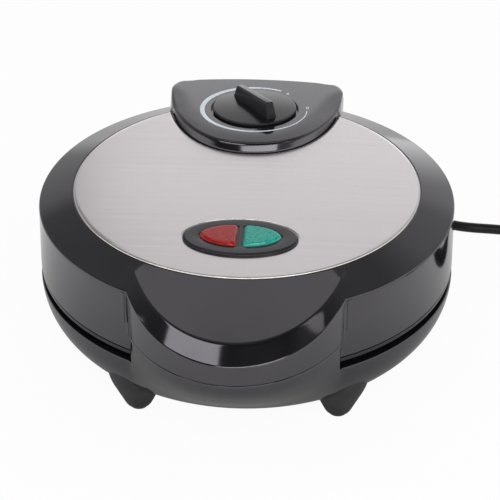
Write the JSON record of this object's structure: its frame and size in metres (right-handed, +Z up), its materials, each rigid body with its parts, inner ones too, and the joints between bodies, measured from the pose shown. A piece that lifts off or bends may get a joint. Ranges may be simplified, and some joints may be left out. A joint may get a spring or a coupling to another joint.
{
  "type": "mini donut maker",
  "caption": "Countertop cooker with a round hinged lid, front handle, steel top panel, thermostat dial, indicator lamps and two plates of ring moulds.",
  "frame": {"origin": "on the table, under the middle of the appliance's own outline, without the cord", "axes": "+Z up, -Y towards the user and the front handle, +X to the user's right"},
  "size_m": [0.3782, 0.2698, 0.1123],
  "materials": {
    "gloss_black": "glossy",
    "satin_black": "satin",
    "steel": "brushed",
    "nonstick": "satin non-stick coating",
    "bright_metal": "bright",
    "element_metal": "dull",
    "aluminium": "mill",
    "rubber": "matt",
    "cord_black": "satin",
    "red_lens": "clear gloss",
    "green_lens": "clear gloss",
    "glass": "clear",
    "ceramic": "matt"
  },
  "bodies": {
    "base": {"base_shell": "gloss_black", "foot_front_left": "satin_black", "foot_front_right": "satin_black", "foot_rear_left": "satin_black", "foot_rear_right": "satin_black", "foot_pad_front_left": "rubber", "foot_pad_front_right": "rubber", "foot_pad_rear_left": "rubber", "foot_pad_rear_right": "rubber", "lower_cooking_plate": "nonstick", "lower_element": "element_metal", "lower_reflector": "aluminium", "lower_plate_screw_1": "bright_metal", "lower_plate_screw_2": "bright_metal", "lower_plate_screw_3": "bright_metal", "hinge_pin_left": "bright_metal", "hinge_pin_right": "bright_metal", "plug_pin_left": "bright_metal", "plug_pin_right": "bright_metal", "terminal_block": "ceramic", "strain_relief": "cord_black", "cord": "cord_black", "cord_coil": "cord_black", "cord_tail": "cord_black", "plug": "cord_black"},
    "lid": {"lid_shell": "gloss_black", "top_panel": "steel", "lid_frame": "satin_black", "upper_cooking_plate": "nonstick", "upper_element": "element_metal", "upper_reflector": "aluminium", "upper_plate_screw_1": "bright_metal", "upper_plate_screw_2": "bright_metal", "upper_plate_screw_3": "bright_metal", "indicator_bezel": "gloss_black", "lens_red": "red_lens", "lens_green": "green_lens", "lamp_left": "glass", "lamp_right": "glass", "thermostat": "ceramic"},
    "dial": {"dial_knob": "satin_black", "dial_spindle": "bright_metal"}
  },
  "joints": [
    {"name": "lid_hinge", "type": "hinge", "parent": "base", "child": "lid", "pos_m": [0, 0.12615, 0.048], "axis": [-1, 0, 0], "range_deg": [0, 100]},
    {"name": "dial_turn", "type": "hinge", "parent": "lid", "child": "dial", "pos_m": [0, 0.08895, 0.09976], "axis": [0, 0.0619, 0.9981], "range_deg": [-238, 66]}
  ]
}
